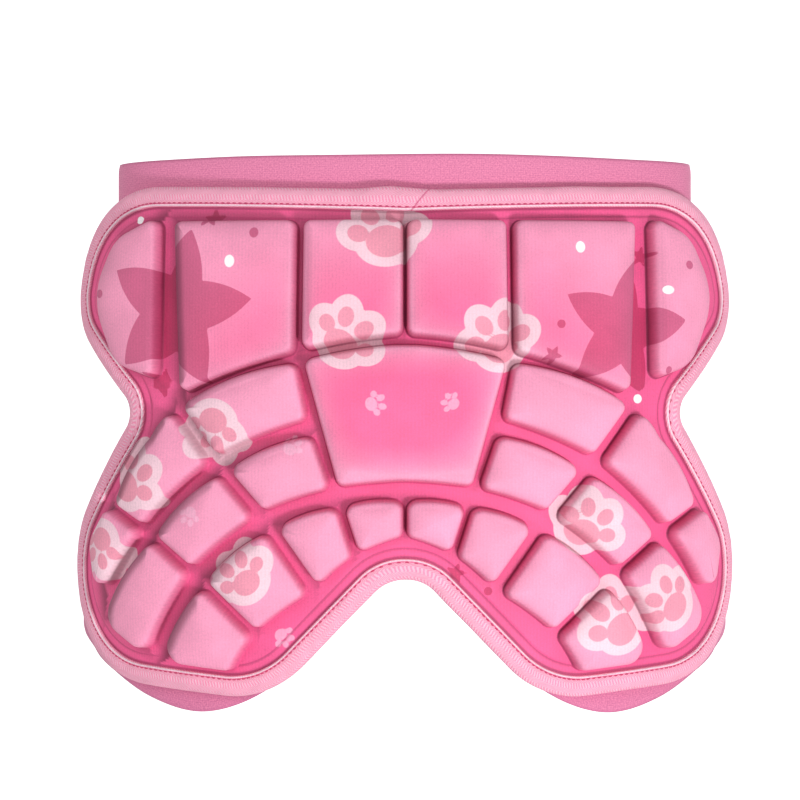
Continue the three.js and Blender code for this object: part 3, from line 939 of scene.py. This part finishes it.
# The lap: its place on the rim, the slant of the cut, its length, what it adds to the height,
# how far it takes to rise, and how far in from the fold it starts.
LAP_PLACE = 12.0
LAP_SLANT = 0.9
LAP_LENGTH = 30.0
LAP_THICKNESS = 0.6
LAP_RISE = 9.0
LAP_INSET = 0.4
# The fold wavers all along and bulges beside the lap, and both are felt a little way in.
WAVER = 0.3
WAVER_LENGTH = 24.0
BULGE = 2.0
BULGE_PLACE = -5.0
BULGE_REACH = 14.0
FOLD_REACH = 9.0
# The stitches pucker the faces, between two distances in from the fold.
PUCKER = 0.14
PUCKER_LENGTH = 5.0
PUCKERED = (1.5, 10.5)

# The tape's section over the front face. Columns: distance in from the outer edge; height
# above the panel's middle surface.
TAPE_SECTION = [
    [10.9, 1.35],
    [10.75, 2.25],
    [10.45, 2.95],
    [10.05, 3.3],
    [9.65, 3.3],
    [9.35, 3.0],
    [9.1, 2.86],
    [8.85, 2.9],
    [8.5, 3.12],
    [7.9, 3.34],
    [7.0, 3.47],
    [6.0, 3.52],
    [5.0, 3.5],
    [4.0, 3.42],
    [3.0, 3.22],
    [2.1, 2.88],
    [1.3, 2.35],
    [0.65, 1.7],
    [0.2, 0.9],
    [0.0, 0.0],
]
# The tape's inner surface. Columns: distance in from the outer edge; height; place across.
TAPE_INSIDE = [
    [10.2, -1.6, 1.0],
    [1.2, -2.3, 0.9],
    [1.2, 2.3, 0.1],
    [10.2, 1.3, 0.0],
]

tape_rim = rim_path(RIM_POINTS)
tape_length = path_length(tape_rim)
# Stations along the tape, up to the cut end, which closes on the start in one short step.
tape_along = np.append(np.linspace(0, tape_length - 1.1, TAPE_STATIONS - 1), tape_length - 0.1)
rim_places = np.linspace(0, tape_length, RIM_POINTS, endpoint=False)
tape_waver = round_noise(rim_places, tape_length, WAVER_LENGTH, 5.0)
tape_pucker = round_noise(tape_along, tape_length, PUCKER_LENGTH, 9.0)
from_middle = np.where(rim_places > tape_length / 2, rim_places - tape_length, rim_places)
tape_bulge = BULGE * np.exp(-(((from_middle - BULGE_PLACE) / BULGE_REACH) ** 2))


def on_rim(places, distance):
    """Points of the flat pattern at places along the rim, moved out by a distance."""
    moved = moved_out(tape_rim, distance)
    position = (places / tape_length * len(moved)) % len(moved)
    before = np.floor(position).astype(int)
    share = (position - before)[:, None]
    return moved[before % len(moved)] * (1 - share) + moved[(before + 1) % len(moved)] * share


def lapped(along, inset):
    """Places on the rim of places along the tape, whose end is cut on a slant."""
    return along + LAP_PLACE - LAP_SLANT * inset


def lap_share(along):
    """1 where the tape's end lies over its start, reached over a few millimetres."""
    return np.clip((along - tape_length + LAP_LENGTH) / LAP_RISE + 0.5, 0, 1)


def strip_places(along, across, side=0.0):
    """Where points lie on a strip: along it, across it, and a shift for its other side."""
    return np.column_stack([along, np.full(len(along), across), np.full(len(along), side)])


section = TAPE_SECTION + [[inset, -height] for inset, height in TAPE_SECTION[-2::-1]]
tape_rings = []
tape_pattern = []
for (inset, height), across_tape in zip(section, distances(np.array(section))):
    face = 1 if height >= 0 else -1
    fold = (WAVER * tape_waver + tape_bulge) * max(0, 1 - inset / FOLD_REACH)
    raised = height + face * LAP_THICKNESS * lap_share(tape_along) * (inset > LAP_INSET)
    raised = raised + face * PUCKER * tape_pucker * (PUCKERED[0] < inset < PUCKERED[1])
    tape_rings.append(on_panel(on_rim(lapped(tape_along, inset), fold - inset), raised))
    tape_pattern.append(strip_places(tape_along, across_tape))
for inset, height, across_tape in TAPE_INSIDE:
    tape_rings.append(on_panel(on_rim(lapped(tape_along, inset), -inset), height))
    tape_pattern.append(strip_places(tape_along, across_tape))
tape = mesh_from_rings("edge_tape_woven", tape_rings[::-1], True)
store(tape, "pattern", np.vstack(tape_pattern[::-1]))

TAPE_PINK = paint(255, 197, 217)
TAPE_DEEP = paint(255, 147, 184)
TAPE_PALE = paint(255, 230, 240)
# Painted shade, in the groove beside the cord and along the lap's cut end.
TAPE_PAINTED_SHADE = paint(222, 84, 134)
# The weave: width of a lane, how its threads lean, their pitch, and that of the cross threads.
LANE_WIDTH = 2.6
THREAD_LEAN = 1.2
THREAD_PITCH = 1.6
CROSS_PITCH = 0.7
# Places across the tape of its pale cord and of the groove beside it, where shade is painted.
CORD_PLACE = 1.9
GROOVE_PLACE = 2.95


def close_to(value, place, share, near, far):
    """A share at a place, which falls to none between two distances from it."""
    return ramped(worked("ABSOLUTE", worked("SUBTRACT", value, place)), share, 0.0, near, far)


def woven_tape():
    """Herringbone: threads that lean one way and the other in turn, in lanes along the tape. Shade is
    painted in the groove beside the cord and along the cut end.
    """
    finish, tree, shader = new_finish("woven tape", 0.72, 0.12)
    place = stored(tree, "pattern", "Vector")
    along, across, _ = split(place)
    leaning = worked("MULTIPLY_ADD", worked("PINGPONG", across, LANE_WIDTH), THREAD_LEAN, along)
    leaning = worked("ADD", leaning, grain(place, 0.35))
    thread = ramped(wave(leaning, THREAD_PITCH), 0.0, 1.0, -1.0, 1.0)
    weave = worked("MULTIPLY_ADD", wave(across, CROSS_PITCH), 0.12, thread)
    weave = worked("MULTIPLY_ADD", grain(place, 2.2, 3.0, 0.7), 1.5, weave)
    ground = dyed(ramped(weave, 0.0, 1.0, 0.5, 2.0), TAPE_DEEP, TAPE_PINK)
    ground = dyed(close_to(across, CORD_PLACE, 0.9, 0.15, 0.8), ground, TAPE_PALE)
    # Painted shade in the groove beside the cord.
    ground = dyed(close_to(across, GROOVE_PLACE, 0.75, 0.1, 0.75), ground, TAPE_PAINTED_SHADE)
    # A painted shadow along the lap's cut end.
    cut_end_shadow = ramped(along, 0.7, 0.0, 0.3, 1.5)
    ground = dyed(cut_end_shadow, ground, TAPE_PAINTED_SHADE)
    mottled = ramped(grain(place, 0.12), 0.96, 1.03, 0.3, 0.7)
    feed(shader, {"Base Color": dyed(1.0, ground, mottled, "MULTIPLY"), "Normal": bump(weave, 0.6, 0.0004)})
    return finish


tape.data.materials.append(woven_tape())
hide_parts("edge_tape")
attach(tape, "root")


# Stitching of the tape
# A single row of lockstitch in darker thread holds both faces of the tape to the panel. Each
# stitch sinks into the tape at its ends and shows as a short dash.
STITCH_PITCH = 3.1
STITCH_LENGTH = 2.1
STITCH_HALF_WIDTH = 0.34
STITCH_INSET = 9.1
STITCH_HEIGHT = 2.98
# Columns: place along the stitch, from -1 to 1; thickness and height, as shares.
STITCH_FORM = [
    [-1.0, 0.25, -1.0],
    [-0.85, 0.75, -0.25],
    [-0.45, 1.0, 0.35],
    [0.0, 1.0, 0.5],
    [0.45, 1.0, 0.35],
    [0.85, 0.75, -0.25],
    [1.0, 0.25, -1.0],
]


def add_stitches(name, middles, alongs, outwards, finish):
    """Dashes of thread at points of a surface, with the directions along them and outwards."""
    points, faces = [], []
    sides, rings = 6, len(STITCH_FORM)
    angles = np.linspace(0, 2 * math.pi, sides, endpoint=False)
    half_width = STITCH_HALF_WIDTH * MM
    for middle, along, outward in zip(middles, alongs, outwards):
        aside = np.cross(outward, along)
        start = len(points)
        for place, thick, rise in STITCH_FORM:
            centre = middle + along * place * STITCH_LENGTH * MM / 2 + outward * rise * half_width
            round_it = np.outer(np.cos(angles), aside) + np.outer(np.sin(angles), outward)
            points.extend(centre + round_it * thick * half_width)
        for r in range(rings - 1):
            here, there = start + r * sides, start + (r + 1) * sides
            for k in range(sides):
                m = (k + 1) % sides
                faces.append((here + k, here + m, there + m, there + k))
        faces.append(tuple(start + k for k in reversed(range(sides))))
        faces.append(tuple(start + (rings - 1) * sides + k for k in range(sides)))
    piece = new_piece(name, np.array(points), faces)
    piece.data.materials.append(finish)
    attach(piece, "root")


def thread_finish(name, light, deep):
    """Twisted sewing thread."""
    finish, tree, shader = new_finish(name, 0.5, 0.1)
    twist = grain(tree.nodes.new("ShaderNodeTexCoord").outputs["Object"], 2600, 1.0)
    feed(shader, {"Base Color": dyed(twist, deep, light), "Normal": bump(twist, 0.4, 0.0001)})
    return finish


stitch_places = np.linspace(0, tape_length, int(tape_length / STITCH_PITCH), endpoint=False)
stitch_line = on_rim(lapped(stitch_places, STITCH_INSET), -STITCH_INSET)
stitch_heights = STITCH_HEIGHT + LAP_THICKNESS * lap_share(stitch_places)
rose_thread = thread_finish("rose thread", paint(225, 70, 120), paint(185, 40, 90))
for face_name, face in (("front", 1), ("back", -1)):
    stitch_points = on_panel(stitch_line, face * stitch_heights)
    stitch_along = directions(stitch_points)
    stitch_out = unit(on_panel(stitch_line, face * (stitch_heights + 1)) - stitch_points)
    add_stitches(f"tape_stitches_{face_name}", stitch_points, stitch_along, stitch_out, rose_thread)


# Waistband
# A closed loop of wide knitted elastic, sewn flat behind the panel's top edge and swinging
# round the front of the waist. It is plain, with a firmer edge along both sides.
BAND_WIDTH = 42.0
BAND_THICKNESS = 2.0
WAIST_HALF_WIDTH = 151.0
BAND_LEAVES = 0.68
BAND_SIDE_HANDLE = 0.52
BAND_FRONT_HANDLE = 0.76
BAND_COLUMNS = 28
BAND_POINTS = 460
PANEL_RUN_POINTS = 160
FRONT_RUN_POINTS = 260
# A band's edges: how square they are, and the share of the thickness that is left there.
EDGE_SQUARENESS = 14
EDGE_LEAST = 0.3
# How far a band's middle line strays across its width, and over what length.
STRAY = 0.5
STRAY_LENGTH = 70.0
# The shift of the pattern on a band's other side.
OTHER_SIDE = 40.0


def bezier(start, handle_in, handle_out, end, count):
    t = np.linspace(0, 1, count)[:, None]
    points = (1 - t) ** 3 * start + 3 * (1 - t) ** 2 * t * handle_in
    return points + 3 * (1 - t) * t**2 * handle_out + t**3 * end


def waist_path(count):
    """The loop's middle line seen from above, in millimetres, anticlockwise."""
    leave = BAND_LEAVES * PAD_HALF_WIDTH
    run = np.linspace(0, leave, PANEL_RUN_POINTS)
    near = np.column_stack([run, np.full(PANEL_RUN_POINTS, TOP_EDGE)])
    near = on_panel(near, -BAND_STANDOFF) / MM
    near[:, 2] = 0
    angle = arch_angle(leave)
    reach = BAND_SIDE_HANDLE * WAIST_HALF_WIDTH
    side = near[-1] + reach * np.array([math.cos(angle), math.sin(angle), 0])
    front = np.array([0, WAIST_DEPTH / 2, 0])
    front_handle = np.array([BAND_FRONT_HANDLE * WAIST_HALF_WIDTH, WAIST_DEPTH / 2, 0])
    round_front = bezier(near[-1], side, front_handle, front, FRONT_RUN_POINTS)
    half = np.vstack([near[:-1], round_front])
    half = even_path(half, count // 2 + 1, False)
    return np.vstack([half, half[-2:0:-1] * [-1, 1, 1]])


def band_directions(path):
    """Along a closed path, across the band that runs on it, and out of the band's face."""
    along = directions(path)
    across = unit(np.array([0, 0, 1]) - along * along[:, 2:3])
    return along, across, np.cross(along, across)


def add_band(name, path, width, thickness, seed):
    """Elastic along a closed path, its width as upright as the path allows."""
    _, across, out = band_directions(path)
    places = np.linspace(-0.5, 0.5, BAND_COLUMNS)
    half = 0.5 * thickness * np.clip(1 - np.abs(2 * places) ** EDGE_SQUARENESS, EDGE_LEAST, 1)
    sides = [(place, rise) for place, rise in zip(places, half)]
    sides += [(place, -rise) for place, rise in zip(places[::-1], half[::-1])]
    length = np.linspace(0, path_length(path), len(path), endpoint=False)
    waver = round_noise(length, path_length(path), STRAY_LENGTH, seed)
    rings, pattern = [], []
    for place, rise in sides:
        shift = across * (place * width + STRAY * waver[:, None]) + out * rise
        rings.append((path + shift) * MM)
        pattern.append(strip_places(length, place * width, OTHER_SIDE * (rise < 0)))
    band = mesh_from_rings(name, rings, True)
    store(band, "pattern", np.vstack(pattern))
    return band


# Where a band is sewn on, and the butt seam that closes its loop.
SEAM_ROWS = (-3.0, 3.0)
SEAM_MARGIN = 3.0


def add_band_stitches(name, path, width, thickness, sewn, rows, seam, finish):
    """Rows along the inner face between two shares of the loop, and two rows across its seam."""
    along, across, out = band_directions(path)
    length = path_length(path)
    face = thickness / 2 + 0.1
    count = int((sewn[1] - sewn[0]) * length / STITCH_PITCH)
    picks = (np.linspace(*sewn, count) * len(path)).astype(int) % len(path)
    middles = [path[picks] + across[picks] * row - out[picks] * face for row in rows]
    alongs = [along[picks]] * len(rows)
    outwards = [-out[picks]] * len(rows)
    at = int(seam * len(path)) % len(path)
    places = np.arange(-width / 2 + SEAM_MARGIN, width / 2 - SEAM_MARGIN, STITCH_PITCH)[:, None]
    for row in SEAM_ROWS:
        for side in (1, -1):
            middles.append(path[at] + along[at] * row + across[at] * places + out[at] * side * face)
            alongs.append(np.tile(across[at], (len(places), 1)))
            outwards.append(np.tile(side * out[at], (len(places), 1)))
    add_stitches(name, np.vstack(middles) * MM, np.vstack(alongs), np.vstack(outwards), finish)


BAND_MAUVE = paint(240, 144, 182)
BAND_DEEP = paint(207, 109, 149)
RIB_PITCH = 1.1
PULL_PITCH = 0.9


def knitted_elastic(name, width, light, deep):
    """Fine ribs along the band, crossed by the pull of the rubber threads inside."""
    finish, tree, shader = new_finish(name, 0.7, 0.35)
    place = stored(tree, "pattern", "Vector")
    along, across, _ = split(place)
    weave = worked("MULTIPLY_ADD", wave(across, RIB_PITCH), 0.03, grain(place, 1.1, 3.0, 0.8))
    weave = worked("MULTIPLY_ADD", wave(along, PULL_PITCH), 0.03, weave)
    ground = dyed(ramped(weave, 0.0, 1.0, 0.28, 0.74), deep, light)
    edge = ramped(worked("ABSOLUTE", across), 0.0, 0.35, width / 2 - 1.6, width / 2 - 0.9)
    feed(shader, {"Base Color": dyed(edge, ground, deep), "Normal": bump(weave, 0.5, 0.0004)})
    return finish


band_path = waist_path(BAND_POINTS)
band = add_band("elastic_waistband", band_path, BAND_WIDTH, BAND_THICKNESS, 2.0)
band_elastic = knitted_elastic("knitted elastic of the waistband", BAND_WIDTH, BAND_MAUVE, BAND_DEEP)
band.data.materials.append(band_elastic)
mauve_thread = thread_finish("mauve thread", paint(236, 130, 172), paint(190, 84, 128))
# The shares of the loop that are sewn to the panel, the rows across the band, and where the
# loop's ends meet.
BAND_SEWN = (-0.2, 0.2)
BAND_ROWS = (-6.0, -16.0)
BAND_SEAM = 0.5
band_run = (band_path, BAND_WIDTH, BAND_THICKNESS, BAND_SEWN, BAND_ROWS, BAND_SEAM)
add_band_stitches("waistband_stitches", *band_run, mauve_thread)
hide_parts("waistband")
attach(band, "root")


# Leg straps
# A closed loop of narrower elastic behind each lower lobe, sewn along the lobe's back, which
# goes round the thigh.
STRAP_WIDTH = 32.0
STRAP_THICKNESS = 2.0
STRAP_STANDOFF = 5.3
LEG_FRONT_REACH = 124.0
STRAP_LOWEST = 245.0
STRAP_RISE = 62.0
STRAP_POINTS = 280
CURVE_STEPS = 40

# The stretch along the back of the lobe.
# Columns: across, as a share of the half width; height, as a share of the strap's rise.
STRAP_ALONG_LOBE = [
    [0.37, 0.24],
    [0.45, 0.08],
    [0.55, 0.0],
    [0.68, 0.08],
    [0.82, 0.26],
    [0.935, 0.42],
]

# The stretch round the front of the thigh. Columns: across, as a share of the half width;
# forward, as a share of the reach; height, as a share of the strap's rise.
STRAP_ROUND_FRONT = [
    [0.855, 0.86, 0.64],
    [0.75, 0.985, 0.84],
    [0.56, 0.97, 0.98],
    [0.4, 0.77, 1.0],
    [0.3, 0.5, 0.86],
    [0.288, 0.26, 0.58],
]


def smooth_loop(points, count):
    """A centripetal curve through the points of a closed loop, divided evenly."""
    total = len(points)
    chain = []
    for index in range(total):
        p0, p1, p2, p3 = [points[(index + k) % total] for k in (-1, 0, 1, 2)]
        d0, d1, d2 = [max(np.linalg.norm(b - a) ** 0.5, 1e-4) for a, b in ((p0, p1), (p1, p2), (p2, p3))]
        slope1 = ((p1 - p0) / d0 - (p2 - p0) / (d0 + d1) + (p2 - p1) / d1) * d1
        slope2 = ((p2 - p1) / d1 - (p3 - p1) / (d1 + d2) + (p3 - p2) / d2) * d1
        t = np.linspace(0, 1, CURVE_STEPS, endpoint=False)[:, None]
        square, cube = t**2, t**3
        chain.append(
            (2 * cube - 3 * square + 1) * p1
            + (cube - 2 * square + t) * slope1
            + (3 * square - 2 * cube) * p2
            + (cube - square) * slope2
        )
    return even_path(np.vstack(chain), count, True)


def strap_path(count):
    """The right strap's middle line, in millimetres."""
    points = []
    for across, rise in STRAP_ALONG_LOBE:
        point = on_panel(np.array([[across * PAD_HALF_WIDTH, LOW_EDGE]]), -STRAP_STANDOFF)[0] / MM
        points.append(np.array([point[0], point[1], -STRAP_LOWEST + rise * STRAP_RISE]))
    for across, forward, rise in STRAP_ROUND_FRONT:
        y = PANEL_Y + forward * LEG_FRONT_REACH
        points.append(np.array([across * PAD_HALF_WIDTH, y, -STRAP_LOWEST + rise * STRAP_RISE]))
    return smooth_loop(points, count)


# The shares of the right loop that are sewn to the lobe, and where its ends meet.
STRAP_SEWN = (0.03, 0.27)
STRAP_ROWS = (-11.0, 11.0)
STRAP_SEAM = 0.62
right_path = strap_path(STRAP_POINTS)
# The straps' elastic is painted darker than the waistband's, as shade behind the lobes.
STRAP_SHADED_MAUVE = paint(232, 136, 175)
STRAP_SHADED_DEEP = paint(197, 101, 142)
shaded_strap_elastic = knitted_elastic("knitted elastic of the leg straps", STRAP_WIDTH, STRAP_SHADED_MAUVE, STRAP_SHADED_DEEP)
for strap_side, strap_line in (("right", right_path), ("left", right_path[::-1] * [-1, 1, 1])):
    strap = add_band(f"elastic_leg_strap_{strap_side}", strap_line, STRAP_WIDTH, STRAP_THICKNESS, 6.0)
    strap.data.materials.append(shaded_strap_elastic)
    mirrored = strap_side == "left"
    strap_sewn = (1 - STRAP_SEWN[1], 1 - STRAP_SEWN[0]) if mirrored else STRAP_SEWN
    strap_seam = 1 - STRAP_SEAM if mirrored else STRAP_SEAM
    strap_run = (strap_line, STRAP_WIDTH, STRAP_THICKNESS, strap_sewn, STRAP_ROWS, strap_seam)
    add_band_stitches(f"strap_stitches_{strap_side}", *strap_run, mauve_thread)
    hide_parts(f"leg_strap_{strap_side}")
    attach(strap, "root")


# Studio
# A pale seamless floor well below the protector, a soft key light from low on the right, a
# fill from the left and one from behind, and a plain surround, dimmer above and to the left.
FLOOR_LEVEL = -1.0
FLOOR_PALE = (0.9, 0.9, 0.9, 1.0)
FLOOR_DIM = (0.88, 0.88, 0.88, 1.0)
FLOOR_GLOW = 0.85
# Columns: radius of a ring of the floor; how far it has risen.
FLOOR_RINGS = [
    [0.6, 0.0],
    [1.8, 0.0],
    [3.0, 0.05],
    [4.0, 0.4],
    [4.8, 1.2],
    [5.2, 2.4],
    [5.3, 4.6],
]
# Columns: name; place; size; power.
LIGHTS = [
    ["key", (0.62, -1.2, -0.62), 0.22, 12],
    ["fill", (-0.75, -1.25, 0.25), 0.9, 5.6],
    ["from behind", (0.35, 1.5, 0.3), 1.1, 15],
]
LIGHT_AIM = Vector((0.0, -0.05, -0.12))

turn = np.linspace(0, 2 * math.pi, 96, endpoint=False)
floor_rings = [np.array([[0, 0, FLOOR_LEVEL]])]
for radius, rise in FLOOR_RINGS:
    level = 0 * turn + FLOOR_LEVEL + rise
    floor_rings.append(np.column_stack([radius * np.cos(turn), radius * np.sin(turn), level]))
floor = mesh_from_rings("studio_floor", floor_rings)
floor_finish, floor_tree, floor_shader = new_finish("pale floor", 0.9, 0.0)
floor_grain = grain(floor_tree.nodes.new("ShaderNodeTexCoord").outputs["Object"], 3.0)
feed(floor_shader, {"Base Color": dyed(floor_grain, FLOOR_PALE, FLOOR_DIM)})
feed(floor_shader, {"Emission Color": (1, 1, 1, 1), "Emission Strength": FLOOR_GLOW})
floor.data.materials.append(floor_finish)
floor.visible_diffuse = False

for light_name, light_place, light_size, light_power in LIGHTS:
    lamp = bpy.data.lights.new(light_name, "AREA")
    lamp.size = light_size
    lamp.energy = light_power
    light = bpy.data.objects.new(light_name, lamp)
    light.location = light_place
    light.rotation_euler = (LIGHT_AIM - Vector(light_place)).to_track_quat("-Z", "Y").to_euler()
    light.visible_camera = False
    bpy.context.scene.collection.objects.link(light)

world = bpy.data.worlds.new("surround")
world.use_nodes = True
bpy.context.scene.world = world
background = world.node_tree.nodes["Background"]
to_right, _, upwards = split(world.node_tree.nodes.new("ShaderNodeTexCoord").outputs["Generated"])
from_above = ramped(upwards, 0.55, 0.47, 0.15, 0.75)
from_left = ramped(to_right, 0.8, 1.0, -0.9, 0.1)
feed(background, {"Color": (1.0, 1.0, 1.0, 1.0), "Strength": worked("MULTIPLY", from_above, from_left)})
bpy.context.scene.view_settings.view_transform = "Standard"
